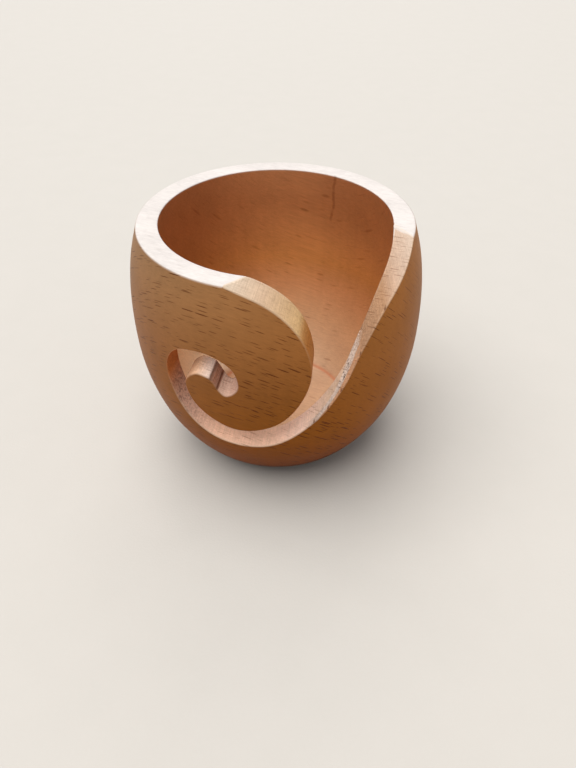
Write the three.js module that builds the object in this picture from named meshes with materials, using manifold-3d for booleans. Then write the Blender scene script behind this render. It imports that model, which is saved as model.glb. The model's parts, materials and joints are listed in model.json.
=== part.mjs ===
// Wooden yarn bowl: one turned bowl with a swirling yarn slot that ends in a round yarn hole.
// Millimetres, +Z up. The origin is the centre of the foot, and the slot faces -Y.
import * as THREE from "three";
import { mergeVertices } from "three/addons/utils/BufferGeometryUtils.js";
import Module from "manifold-3d";

// Driving dimensions of the turned body
const BOWL_HEIGHT = 110;
const FOOT_RADIUS = 36;
const RIM_OUTER_RADIUS = 56;
const RIM_INNER_RADIUS = 47.2;
const FLOOR_THICKNESS = 7.5;
const FLOOR_RADIUS = 34;
const RIM_EDGE_BREAK = 0.5;

// How finely the curves are divided
const ROUND_SEGMENTS = 80;
const OUTER_WALL_PIECES = 22;
const INNER_WALL_PIECES = 18;
const SWIRL_PIECES = 90;
const TONGUE_PIECES = 60;
const MERGE_TOLERANCE = 1e-4;

// Stations of the turned wall: [radius, height above the table]
const OUTER_WALL = [
  [FOOT_RADIUS, 0],
  [38.4, 1.3],
  [42.2, 4.6],
  [46.6, 9.6],
  [51.6, 17.4],
  [56.9, 28.6],
  [60.7, 42],
  [62.7, 56],
  [62.9, 71],
  [61.9, 85],
  [59.6, 98],
  [RIM_OUTER_RADIUS, BOWL_HEIGHT - RIM_EDGE_BREAK],
];
const INNER_WALL = [
  [RIM_INNER_RADIUS, BOWL_HEIGHT - RIM_EDGE_BREAK],
  [50.6, 98],
  [53.6, 86],
  [55, 74],
  [55.3, 62],
  [54.2, 49],
  [50.9, 36.5],
  [45.6, 25],
  [39.8, 14.8],
  [FLOOR_RADIUS, FLOOR_THICKNESS],
];

// The slot is cut with the tool always aimed at one point behind the bowl, so its faces close in
// towards that point. Its outline is drawn on an upright plane in front of the bowl: [x, z].
const AIM_POINT = new THREE.Vector3(34.3, 123, 144.2);
const OUTLINE_PLANE_Y = -64;
const CUT_START_Y = -70;
const CUT_END_Y = 8;
const CUT_TOP = 126;

// Right and lower edge of the slot, from the rim down, round the bottom and up to the curl
const SWIRL_EDGE = [
  [67, 103.4],
  [53.1, 95.8],
  [40.6, 89],
  [31.6, 77.6],
  [25.3, 64.8],
  [14, 49.9],
  [-4.1, 35.1],
  [-27.8, 31.9],
  [-43, 40.8],
  [-50.3, 60.3],
  [-43.3, 74.9],
  [-28.3, 80.9],
  [-17.3, 78.2],
  [-14.5, 69.9],
  [-20.1, 64.3],
  [-25.4, 69.6],
];
// Edge of the tongue inside the swirl, from the yarn hole round its nose and up to the rim
const TONGUE_EDGE = [
  [-26.6, 70.6],
  [-33.5, 69.3],
  [-39.4, 61],
  [-34, 50.6],
  [-17.3, 45],
  [-0.3, 51.3],
  [9.9, 63.9],
  [13.2, 78.5],
  [7.3, 93.8],
  [-6.3, 104.2],
  [-31, 109.7],
];

function curveThrough(stations, pieces) {
  const points = stations.map(([a, b]) => new THREE.Vector2(a, b));
  return new THREE.SplineCurve(points).getPoints(pieces);
}

function bodyProfile() {
  const rimOuter = RIM_OUTER_RADIUS - RIM_EDGE_BREAK;
  const rimInner = RIM_INNER_RADIUS + RIM_EDGE_BREAK;
  return [
    new THREE.Vector2(0, 0),
    ...curveThrough(OUTER_WALL, OUTER_WALL_PIECES),
    new THREE.Vector2(rimOuter, BOWL_HEIGHT),
    new THREE.Vector2(rimInner, BOWL_HEIGHT),
    ...curveThrough(INNER_WALL, INNER_WALL_PIECES),
    new THREE.Vector2(0, FLOOR_THICKNESS),
  ];
}

// Outline of the opening, closed over the top of the rim between the two edges
function slotOutline() {
  const swirl = curveThrough(SWIRL_EDGE, SWIRL_PIECES);
  const tongue = curveThrough(TONGUE_EDGE, TONGUE_PIECES);
  const overRim = [
    new THREE.Vector2(TONGUE_EDGE.at(-1)[0], CUT_TOP),
    new THREE.Vector2(SWIRL_EDGE[0][0], CUT_TOP),
  ];
  return new THREE.Shape([...swirl, ...tongue, ...overRim]);
}

// Straight extrusion of the outline, drawn in so that every side edge runs to the aim point
function slotCutter() {
  const depth = CUT_END_Y - CUT_START_Y;
  const solid = new THREE.ExtrudeGeometry(slotOutline(), { depth, bevelEnabled: false });
  const position = solid.getAttribute("position");
  const planeDistance = AIM_POINT.y - OUTLINE_PLANE_Y;
  for (let i = 0; i < position.count; i += 1) {
    const y = CUT_START_Y + position.getZ(i);
    const scale = (AIM_POINT.y - y) / planeDistance;
    const x = AIM_POINT.x + (position.getX(i) - AIM_POINT.x) * scale;
    const z = AIM_POINT.z + (position.getY(i) - AIM_POINT.z) * scale;
    position.setXYZ(i, x, y, z);
  }
  return solid;
}

// Closed triangle solid from a three.js geometry, turned right side out where it is inside out
function toSolid(wasm, geometry) {
  const bare = geometry.clone();
  bare.deleteAttribute("normal");
  bare.deleteAttribute("uv");
  const merged = mergeVertices(bare, MERGE_TOLERANCE);
  const vertices = new Float32Array(merged.getAttribute("position").array);
  const triangles = new Uint32Array(merged.getIndex().array);
  if (signedVolume(vertices, triangles) < 0) {
    for (let i = 0; i < triangles.length; i += 3) {
      [triangles[i + 1], triangles[i + 2]] = [triangles[i + 2], triangles[i + 1]];
    }
  }
  return new wasm.Manifold(
    new wasm.Mesh({ numProp: 3, vertProperties: vertices, triVerts: triangles }),
  );
}

function signedVolume(vertices, triangles) {
  const corner = (i) => new THREE.Vector3().fromArray(vertices, 3 * triangles[i]);
  let volume = 0;
  for (let i = 0; i < triangles.length; i += 3) {
    volume += corner(i).dot(corner(i + 1).cross(corner(i + 2))) / 6;
  }
  return volume;
}

function toGeometry(solid) {
  const mesh = solid.getMesh();
  const geometry = new THREE.BufferGeometry();
  geometry.setAttribute("position", new THREE.BufferAttribute(mesh.vertProperties, 3));
  geometry.setIndex(new THREE.BufferAttribute(mesh.triVerts, 1));
  geometry.computeVertexNormals();
  return geometry;
}

const wasm = await Module();
wasm.setup();

const turnedBody = new THREE.LatheGeometry(bodyProfile(), ROUND_SEGMENTS);
turnedBody.rotateX(Math.PI / 2);
const bowlSolid = toSolid(wasm, turnedBody).subtract(toSolid(wasm, slotCutter()));

const beech = new THREE.MeshStandardMaterial({ color: "#b98256", roughness: 0.5, metalness: 0 });
const bowl = new THREE.Mesh(toGeometry(bowlSolid), beech);
bowl.name = "yarn_bowl_body";

const group = new THREE.Group();
group.name = "yarn_bowl";
group.add(bowl);

export default group;
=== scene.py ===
"""Looks of the turned beech yarn bowl: a fine mesh of its single wooden piece, and the material on it."""
import json
import math

import bpy
import numpy as np
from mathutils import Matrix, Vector
from mathutils.geometry import delaunay_2d_cdt

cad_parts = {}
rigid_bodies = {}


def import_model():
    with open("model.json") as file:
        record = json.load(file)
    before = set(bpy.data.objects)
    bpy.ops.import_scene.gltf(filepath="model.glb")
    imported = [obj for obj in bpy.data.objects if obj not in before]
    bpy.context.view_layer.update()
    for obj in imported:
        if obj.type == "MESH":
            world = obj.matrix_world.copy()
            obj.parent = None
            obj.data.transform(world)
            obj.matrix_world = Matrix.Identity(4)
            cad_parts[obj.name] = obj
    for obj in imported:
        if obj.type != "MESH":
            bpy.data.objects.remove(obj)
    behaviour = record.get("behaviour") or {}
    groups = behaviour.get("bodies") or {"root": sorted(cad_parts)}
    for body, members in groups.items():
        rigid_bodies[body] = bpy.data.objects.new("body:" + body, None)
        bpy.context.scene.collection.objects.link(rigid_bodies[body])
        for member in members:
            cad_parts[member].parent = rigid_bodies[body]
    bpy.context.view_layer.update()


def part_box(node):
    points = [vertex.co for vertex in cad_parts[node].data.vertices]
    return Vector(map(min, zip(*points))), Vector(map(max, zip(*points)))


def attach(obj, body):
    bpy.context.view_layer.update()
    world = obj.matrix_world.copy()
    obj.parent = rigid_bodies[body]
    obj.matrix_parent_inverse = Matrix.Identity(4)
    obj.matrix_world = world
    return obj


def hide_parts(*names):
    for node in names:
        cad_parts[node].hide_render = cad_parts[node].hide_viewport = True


MM = 0.001

# ---- sizes of the bowl, in millimetres
BOWL_HEIGHT = 110.0
FOOT_RADIUS = 36.0
RIM_OUTER_RADIUS = 56.0
RIM_INNER_RADIUS = 47.2
FLOOR_THICKNESS = 7.5
FLOOR_RADIUS = 34.0
RIM_DROP = 0.5
RIM_ROUNDING = 0.75
FOOT_ROUNDING = 0.8
FLOOR_CORNER_ROUNDING = 1.2

# Stations of the turned wall: [radius, height above the table]
OUTER_WALL = [
    [FOOT_RADIUS, 0.0],
    [38.4, 1.3], [42.2, 4.6], [46.6, 9.6], [51.6, 17.4], [56.9, 28.6],
    [60.7, 42.0], [62.7, 56.0], [62.9, 71.0], [61.9, 85.0], [59.6, 98.0],
    [RIM_OUTER_RADIUS, BOWL_HEIGHT - RIM_DROP],
]
INNER_WALL = [
    [RIM_INNER_RADIUS, BOWL_HEIGHT - RIM_DROP],
    [50.6, 98.0], [53.6, 86.0], [55.0, 74.0], [55.3, 62.0],
    [54.2, 49.0], [50.9, 36.5], [45.6, 25.0], [39.8, 14.8],
    [FLOOR_RADIUS, FLOOR_THICKNESS],
]

# The slot's faces all run to this point behind the bowl. Its outline is on the plane y = OUTLINE_Y.
AIM_POINT = np.array([34.3, 123.0, 144.2])
OUTLINE_Y = -64.0
SWIRL_EDGE = [
    [67.0, 103.4], [53.1, 95.8], [40.6, 89.0], [31.6, 77.6],
    [25.3, 64.8], [14.0, 49.9], [-4.1, 35.1], [-27.8, 31.9],
    [-43.0, 40.8], [-50.3, 60.3], [-43.3, 74.9], [-28.3, 80.9],
    [-17.3, 78.2], [-14.5, 69.9], [-20.1, 64.3], [-25.4, 69.6],
]
TONGUE_EDGE = [
    [-26.6, 70.6], [-33.5, 69.3], [-39.4, 61.0], [-34.0, 50.6],
    [-17.3, 45.0], [-0.3, 51.3], [9.9, 63.9], [13.2, 78.5],
    [7.3, 93.8], [-6.3, 104.2], [-31.0, 109.7],
]
# The wall is searched for the slot's crossing between these two places along Y
CUT_START_Y = -70.0
CUT_END_Y = 8.0

# ---- tones of the wood with painted light and shade, linear colour
# Turned surface: (height, colour), from low to high, on the outside's left and right and on the inside.
# Outside, the dark low tones are painted shade near the table, and the greyer upper left tones are a painted
# sky reflection.
LEFT_TONES = [
    (0.0, (0.078, 0.011, 0.0005)),
    (18.0, (0.215, 0.051, 0.002)),
    (45.0, (0.220, 0.065, 0.004)),
    (75.0, (0.236, 0.092, 0.029)),
    (108.5, (0.238, 0.122, 0.053)),
]
RIGHT_TONES = [
    (0.0, (0.092, 0.012, 0.0005)),
    (18.0, (0.21, 0.047, 0.001)),
    (45.0, (0.288, 0.083, 0.003)),
    (75.0, (0.303, 0.102, 0.017)),
    (108.5, (0.32, 0.120, 0.028)),
]
# Painted shade: the outside is darker at the front, below the shoulder of the tongue
FRONT_PAINTED_SHADE = 0.15
FRONT_DARK_SPREAD = 0.6
FRONT_DARK_TOP = 90.0
FRONT_DARK_FADE = 25.0
# How quickly the left tones turn into the right ones, across the front
SIDE_CONTRAST = 1.3
# At the rear the painted shade is more even from top to bottom: how far its tone goes to the one at this
# height
REAR_EVENNESS = 0.55
REAR_HEIGHT = 78.0
REAR_FADE = 0.4
INNER_TONES = [
    (7.5, (0.53, 0.335, 0.205)),
    (12.0, (0.505, 0.305, 0.175)),
    (30.0, (0.462, 0.235, 0.112)),
    (45.0, (0.47, 0.20, 0.080)),
    (60.0, (0.465, 0.180, 0.050)),
    (80.0, (0.440, 0.166, 0.054)),
    (109.0, (0.43, 0.165, 0.062)),
]
# Painted light on the inner wall: lighter at the back, and low on the left where light falls in through the
# opening
BACK_PAINTED_LIGHT = (1.50, 1.80, 2.08)
BACK_LIGHT_SPREAD = 0.62
LEFT_PAINTED_LIGHT = (1.9, 2.7, 3.5)
LEFT_LIGHT_ANGLE = -1.8
LEFT_LIGHT_SPREAD = 0.8
LEFT_LIGHT_TOP = 50.0
LEFT_LIGHT_FADE = 15.0
LEFT_LIGHT_BOTTOM = FLOOR_THICKNESS + 1
LEFT_LIGHT_BOTTOM_FADE = 4.0
# The nearly white rim, pale sanded end grain with a painted highlight on it, how far its tone reaches down
# both sides, and over what distance it ends
RIM_TONE_AND_HIGHLIGHT = np.array([0.535, 0.49, 0.46])
RIM_WHITE_REACH = RIM_ROUNDING * 1.5
RIM_WHITE_FADE = 0.35
# Painted shade: a rust-coloured line in the corner round the floor
FLOOR_CORNER_SHADE_TONE = (0.55, 0.17, 0.07)
FLOOR_LINE_STRENGTH = 0.62
FLOOR_LINE_SPREAD = 0.9
# Painted highlight on the slot's rounded edges, where they face the light
EDGE_HIGHLIGHT_TONE = (0.60, 0.46, 0.33)
# How strongly the ray flecks show in each kind of surface
FLECKS_OUTSIDE = 1.0
FLECKS_INSIDE = 0.15
FLECKS_RIM = 0.10
# Outside they are weaker far right, from this sine of the angle, and at the rear
FAR_RIGHT_FROM = 0.70
FAR_RIGHT_FADE = 0.25
FAR_RIGHT_LOSS = 0.65
REAR_LOSS = 0.55
# They are boldest outside, low on the front and just right of the slot
BOLD_FLECKS = 0.7
BOLD_ANGLE = 0.35
BOLD_SPREAD = 0.38
BOLD_TOP = 78.0
BOLD_FADE = 20.0
# Cut faces of the slot: (a point of the outline, colour), in order along it. The dark red tones on the curl's
# left face, and the dark brown ones between the two grooves, are partly painted shade.
CUT_TONES = [
    ((58.4, 98.6), (0.50, 0.385, 0.30)), ((47.0, 92.5), (0.425, 0.285, 0.20)),
    ((41.0, 89.2), (0.34, 0.19, 0.105)), ((32.0, 78.4), (0.33, 0.185, 0.105)),
    ((28.5, 71.5), (0.53, 0.36, 0.25)), ((20.0, 57.5), (0.54, 0.375, 0.265)),
    ((9.0, 46.0), (0.75, 0.51, 0.40)), ((-4.1, 35.1), (0.72, 0.45, 0.32)),
    ((-27.8, 31.9), (0.70, 0.42, 0.29)), ((-41.5, 39.0), (0.56, 0.34, 0.25)),
    ((-47.5, 48.0), (0.46, 0.25, 0.17)), ((-50.3, 58.0), (0.48, 0.155, 0.045)),
    ((-46.5, 71.8), (0.48, 0.150, 0.040)), ((-38.0, 78.2), (0.58, 0.29, 0.135)),
    ((-15.5, 75.0), (0.42, 0.25, 0.20)), ((-16.5, 66.0), (0.46, 0.28, 0.21)),
    ((-21.5, 65.0), (0.56, 0.36, 0.27)), ((-22.9, 66.3), (0.56, 0.36, 0.27)),
    ((-23.6, 67.1), (0.36, 0.18, 0.12)), ((-25.2, 69.4), (0.30, 0.13, 0.075)),
    ((-27.5, 70.8), (0.69, 0.52, 0.43)), ((-33.5, 69.2), (0.62, 0.375, 0.235)),
    ((-36.2, 66.8), (0.46, 0.25, 0.145)), ((-39.4, 61.0), (0.46, 0.25, 0.145)),
    ((-17.3, 45.0), (0.46, 0.23, 0.10)), ((9.9, 63.9), (0.36, 0.12, 0.030)),
    ((13.2, 78.5), (0.405, 0.160, 0.050)), ((10.5, 87.0), (0.385, 0.145, 0.036)),
    ((9.0, 90.5), (0.43, 0.200, 0.066)), ((7.3, 93.8), (0.56, 0.35, 0.165)),
    ((-6.3, 104.2), (0.475, 0.325, 0.215)), ((-19.0, 107.6), (0.47, 0.37, 0.28)),
]

# Two grooves the saw left where the curl meets the tongue: a point of the outline on each
GROOVES = [(-25.9, 70.1), (-23.2, 66.7)]
# Small chips in the outer edge of the right cut face: a point of the outline on each
CHIPS = [(40.9, 89.3), (31.3, 77.1), (24.6, 63.8), (19.9, 56.8), (14.6, 50.6)]
# Torn strip on the right cut face: millimetres along the slot, from and to which share of its width,
# and how strongly it shows
TORN_STRIP = [
    (30.0, 0.72, 1.05, 0.0), (36.0, 0.46, 1.05, 0.55),
    (42.0, 0.38, 1.02, 0.85), (46.5, 0.34, 0.88, 1.0),
    (50.0, 0.24, 0.66, 1.0), (53.0, 0.18, 0.52, 0.95),
    (58.0, 0.10, 0.38, 0.9), (65.0, -0.02, 0.30, 0.75),
    (70.0, -0.05, 0.27, 0.45), (76.0, -0.05, 0.25, 0.0),
]
# Where the pits in it are deepest, along the slot, and how far they reach from there, in millimetres
PITS_AT = 48.0
PITS_REACH = 7.0
# How rough the cut faces are, and how strongly flecks show: (a point of the outline, roughness, flecks)
CUT_SURFACE = [
    ((58.4, 98.6), 0.15, 0.45), ((47.0, 92.5), 0.25, 0.9), ((38.0, 86.0), 0.55, 0.9),
    ((32.0, 78.4), 0.75, 0.8), ((20.0, 57.5), 0.4, 0.5), ((9.0, 46.0), 0.2, 0.6),
    ((-27.8, 31.9), 0.25, 0.55), ((-39.0, 36.0), 0.80, 0.5), ((-44.0, 42.5), 1.0, 0.5),
    ((-48.5, 50.5), 1.0, 0.3), ((-50.3, 59.0), 0.5, 0.1), ((-38.0, 78.2), 0.2, 0.2),
    ((-15.5, 75.0), 0.3, 0.4), ((-19.0, 64.5), 0.5, 0.6), ((-25.2, 69.4), 0.8, 0.4),
    ((-28.0, 70.9), 0.6, 0.5), ((-34.0, 69.0), 0.6, 0.5), ((-37.5, 65.5), 0.1, 0.1),
    ((-17.3, 45.0), 0.1, 0.3), ((13.2, 78.5), 0.4, 0.35), ((7.3, 93.8), 0.35, 0.3),
    ((-19.0, 107.6), 0.2, 0.2),
]
# How strong the painted highlight on the rounded edge of the slot is: (a point of the outline, share)
EDGE_HIGHLIGHT_SHARES = [
    ((58.4, 98.6), 0.8), ((32.0, 78.4), 0.15), ((20.0, 57.5), 0.1),
    ((-4.1, 35.1), 0.7), ((-27.8, 31.9), 0.7), ((-50.3, 58.0), 0.1),
    ((-38.0, 78.2), 0.2), ((-19.0, 64.5), 0.10), ((-28.0, 70.8), 0.12),
    ((-39.4, 61.0), 0.05), ((-17.3, 45.0), 0.2), ((9.9, 63.9), 0.0),
    ((13.2, 78.5), 0.05), ((7.3, 93.8), 0.3), ((-19.0, 107.6), 0.8),
]

# The rim's right end is worn round where the slot meets it: how far, across the face and along the slot.
# There the cut face takes the rim's pale tone with its painted highlight.
WORN_DEPTH = 2.3
WORN_REACH = 3.0
WORN_BLUR = 0.5
UPWARD = np.array([0.0, 0.0, 1.0])
# How softly the torn strip begins and ends across the face, as a share of its width
TORN_BLUR = 0.07

# ---- fineness of the mesh: numbers of samples, and steps in millimetres
OUTER_SAMPLES = 900
INNER_SAMPLES = 800
SWIRL_SAMPLES = 1500
TONGUE_SAMPLES = 1100
PROFILE_STEP = 0.12
OUTLINE_STEP = 0.05
CROSSING_SAMPLES = 400
CROSSING_HALVINGS = 30
COLUMNS = 300
WALL_STEP = 1.4
ROUNDING_STEP = 0.3
FLAT_STEP = 3.0
ROW_BLUR = 9
SLOT_STEP = 0.5
CUT_COLUMNS = 16
ROUND_COLUMNS = 4
# Size of the slot's rounded edge, its limit where the face is narrow, and its limit on a slanting edge
EDGE_SIZE = 0.5
NARROW_EDGE_SHARE = 0.35
MOST_ROUNDED = 0.4
LEAST_SQUARENESS = 0.12
# The turned surface is unrolled to a flat sheet at this radius to fit the mesh round the slot
UNROLL_RADIUS = 58.0
# Round the slot, how far the grid is searched and how far it stays away
SLOT_MARGIN = 3.0
GRID_CLEARANCE = 0.75 * WALL_STEP
BORDER_CLEARANCE = 0.45 * WALL_STEP
# Rings of points round the slot: distance in slot steps, and one point in how many is used
BAND_RINGS = ((0.9, 1), (2.2, 2))
RING_CLEARANCE = 0.93
THIN_CELL = 0.35
THIN_DISTANCE = 0.33
CDT_EPSILON = 1e-7
# Moving the slot's edge outwards: how little of a step may be left, and how sizes shrink until it is
OFFSET_TRIES = 40
LEAST_PROGRESS = 0.15
OFFSET_SHRINK = 0.75


# ---- curves
def catmull_rom(stations, count):
    """Uniform Catmull-Rom curve through the stations, with its ends repeated."""
    points = np.asarray(stations, float)
    padded = np.vstack([points[:1], points, points[-1:], points[-1:]])
    t = np.linspace(0, len(points) - 1, count)
    k = np.minimum(t.astype(int), len(points) - 2)
    w = (t - k)[:, None]
    p0, p1, p2, p3 = (padded[k + i] for i in range(4))
    return 0.5 * (
        2 * p1
        + (p2 - p0) * w
        + (2 * p0 - 5 * p1 + 4 * p2 - p3) * w**2
        + (3 * p1 - p0 - 3 * p2 + p3) * w**3
    )


def arc_length(points):
    """Distance of each point from the first, along the line."""
    steps = np.linalg.norm(np.diff(points, axis=0), axis=1)
    return np.concatenate([[0.0], np.cumsum(steps)])


def resample(points, step):
    """The same line with evenly spaced points."""
    length = arc_length(points)
    count = int(math.ceil(length[-1] / step)) + 1
    at = np.linspace(0, length[-1], count)
    return np.stack([np.interp(at, length, points[:, k]) for k in range(points.shape[1])], -1)


def rounded(start, corner, end, count=14):
    """Small round between two stretches: a quadratic curve drawn towards the corner."""
    start, corner, end = np.array(start), np.array(corner), np.array(end)
    t = np.linspace(0, 1, count)[:, None]
    return (1 - t) ** 2 * start + 2 * t * (1 - t) * corner + t**2 * end


def unit(v):
    return v / np.maximum(np.linalg.norm(v, axis=-1, keepdims=True), 1e-12)


class Profile:
    """The turned profile from the middle of the foot, up outside, over the rim and down inside."""

    def __init__(self, radius_scale):
        outer = catmull_rom(OUTER_WALL, OUTER_SAMPLES)
        inner = catmull_rom(INNER_WALL, INNER_SAMPLES)
        start = outer[arc_length(outer) >= FOOT_ROUNDING]
        to_floor = arc_length(inner)[-1] - arc_length(inner)
        end = inner[to_floor >= FLOOR_CORNER_ROUNDING]
        top = BOWL_HEIGHT
        slope_out = (outer[-1] - outer[-4]) / (outer[-1] - outer[-4])[1]
        slope_in = (inner[0] - inner[3]) / (inner[0] - inner[3])[1]
        corner_out = outer[-1] + slope_out * RIM_DROP
        corner_in = inner[0] + slope_in * RIM_DROP
        flat_start = [corner_out[0] - RIM_ROUNDING, top]
        flat_end = [corner_in[0] + RIM_ROUNDING, top]
        floor_corner = [FLOOR_RADIUS, FLOOR_THICKNESS]
        floor_start = [FLOOR_RADIUS - FLOOR_CORNER_ROUNDING, FLOOR_THICKNESS]
        line = np.vstack(
            [
                [[0.0, 0.0]],
                rounded([FOOT_RADIUS - FOOT_ROUNDING, 0.0], [FOOT_RADIUS, 0.0], start[0]),
                start[1:],
                rounded(outer[-1], corner_out, flat_start)[1:],
                rounded(flat_end, corner_in, inner[0]),
                end[1:],
                rounded(end[-1], floor_corner, floor_start)[1:],
                [[0.0, FLOOR_THICKNESS]],
            ]
        )
        line[:, 0] *= radius_scale
        line = resample(line, PROFILE_STEP)
        self.s = arc_length(line)
        self.r, self.z = line[:, 0], line[:, 1]
        along = unit(np.gradient(line, axis=0))
        self.nr, self.nz = along[:, 1], -along[:, 0]
        flat = np.flatnonzero(self.z > top - 1e-6)
        self.flat_first, self.flat_last = flat[0], flat[-1]
        self.rim_from, self.rim_to = self.s[self.flat_first], self.s[self.flat_last]
        self.floor_corner = self.s[np.argmin(np.hypot(self.r - FLOOR_RADIUS, self.z - FLOOR_THICKNESS))]
        self.length = self.s[-1]

    def at(self, s):
        """Radius and height at a distance along the profile."""
        return np.interp(s, self.s, self.r), np.interp(s, self.s, self.z)

    def point(self, phi, s):
        """Point of the surface; phi is the angle from the front, -Y, towards +X."""
        r, z = self.at(s)
        return np.stack([r * np.sin(phi), -r * np.cos(phi), z], -1)

    def normal(self, phi, s):
        nr, nz = np.interp(s, self.s, self.nr), np.interp(s, self.s, self.nz)
        return unit(np.stack([nr * np.sin(phi), -nr * np.cos(phi), nz], -1))

    def outer_radius(self, z):
        i = self.flat_first + 1
        return np.interp(z, self.z[:i], self.r[:i])

    def inner_radius(self, z):
        i = self.flat_last
        return np.interp(z, self.z[i:][::-1], self.r[i:][::-1])

    def inside(self, p):
        r, z = np.hypot(p[..., 0], p[..., 1]), p[..., 2]
        within = (z > 0) & (z < BOWL_HEIGHT) & (r < self.outer_radius(z))
        return within & ((r > self.inner_radius(z)) | (z < FLOOR_THICKNESS))

    def outer_station(self, p):
        i = self.flat_first + 1
        return np.interp(p[..., 2], self.z[:i], self.s[:i])

    def inner_station(self, p):
        """Arc length of a point where a line leaves the wall: on the rim or on the inner wall."""
        i = self.flat_last
        on_wall = np.interp(p[..., 2], self.z[i:][::-1], self.s[i:][::-1])
        r = np.hypot(p[..., 0], p[..., 1])
        on_flat = self.rim_from + (self.r[self.flat_first] - r)
        rim_middle = (self.r[self.flat_first] + self.r[self.flat_last]) / 2
        on_outer_edge = (r > rim_middle) & (p[..., 2] > BOWL_HEIGHT - 1)
        station = np.where(on_outer_edge, self.outer_station(p), on_wall)
        return np.where(p[..., 2] > BOWL_HEIGHT - 1e-3, on_flat, station)


# ---- tones of the turned surface, with painted light and shade
def blend(a, b, share):
    return a * (1 - share) + b * share


def hump(value, centre, spread):
    """1 at the centre, falling smoothly to 0 on both sides."""
    return np.exp(-(((value - centre) / spread) ** 2))


def fade(value, start, over):
    """0 up to the start, then rising evenly to 1. A negative distance makes it 1 below the start instead."""
    return np.clip((value - start) / over, 0, 1)


def graded(tones, height):
    """Colour at each height, between the tones given from low to high."""
    heights = [tone[0] for tone in tones]
    return np.stack([np.interp(height, heights, [tone[1][k] for tone in tones]) for k in range(3)], -1)


def outside_tone(phi, z, at_rear):
    # painted shade low down and at the front, weaker at the rear
    rightness = (0.5 + 0.5 * np.clip(np.sin(phi) * SIDE_CONTRAST, -1, 1))[:, None]
    tone = blend(graded(LEFT_TONES, z), graded(RIGHT_TONES, z), rightness)
    at_front = hump(phi, 0.0, FRONT_DARK_SPREAD) * fade(z, FRONT_DARK_TOP, -FRONT_DARK_FADE)
    tone = tone * (1 - FRONT_PAINTED_SHADE * at_front)[:, None]
    even = (graded(LEFT_TONES, REAR_HEIGHT) + graded(RIGHT_TONES, REAR_HEIGHT)) / 2
    return blend(tone, even, (REAR_EVENNESS * at_rear)[:, None])


def inside_tone(phi, r, z):
    # on the floor, the painted light at the back fades towards the middle
    at_back = hump(np.abs(phi), math.pi, BACK_LIGHT_SPREAD) * np.clip(r / FLOOR_RADIUS, 0, 1) ** 2
    tone = graded(INNER_TONES, z) * (1 + at_back[:, None] * (np.array(BACK_PAINTED_LIGHT) - 1))
    # painted light low on the left of the inner wall
    at_left = hump(phi, LEFT_LIGHT_ANGLE, LEFT_LIGHT_SPREAD) * fade(z, LEFT_LIGHT_TOP, -LEFT_LIGHT_FADE)
    at_left *= fade(z, LEFT_LIGHT_BOTTOM, LEFT_LIGHT_BOTTOM_FADE)
    return tone * (1 + at_left[:, None] * (np.array(LEFT_PAINTED_LIGHT) - 1))


def outside_flecks(phi, z, at_rear):
    """How strongly the flecks show outside: less far right and at the rear, most low in front."""
    far_right = fade(np.sin(phi), FAR_RIGHT_FROM, FAR_RIGHT_FADE) * (np.abs(phi) < math.pi / 2)
    strength = FLECKS_OUTSIDE * (1 - FAR_RIGHT_LOSS * far_right) * (1 - REAR_LOSS * at_rear)
    return strength + BOLD_FLECKS * hump(phi, BOLD_ANGLE, BOLD_SPREAD) * fade(z, BOLD_TOP, -BOLD_FADE)


def skin_tone(profile, phi, s):
    """Broad tone of the turned surface with its painted light and shade, and how strongly its flecks show."""
    r, z = profile.at(s)
    at_rear = fade(np.abs(phi), math.pi / 2, REAR_FADE)
    is_outside = s < (profile.rim_from + profile.rim_to) / 2
    tone = np.where(is_outside[:, None], outside_tone(phi, z, at_rear), inside_tone(phi, r, z))
    from_rim = np.maximum(profile.rim_from - s, s - profile.rim_to)
    on_rim = fade(from_rim, RIM_WHITE_REACH, -RIM_WHITE_FADE)
    tone = blend(tone, RIM_TONE_AND_HIGHLIGHT, on_rim[:, None])
    # painted shade in the corner round the floor
    on_line = FLOOR_LINE_STRENGTH * hump(s, profile.floor_corner, FLOOR_LINE_SPREAD)
    tone = blend(tone, np.array(FLOOR_CORNER_SHADE_TONE), on_line[:, None])
    flecky = np.where(is_outside, outside_flecks(phi, z, at_rear), FLECKS_INSIDE)
    return tone, blend(flecky, FLECKS_RIM, on_rim)


def front_angle(p):
    return np.arctan2(p[..., 0], -p[..., 1])


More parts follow.
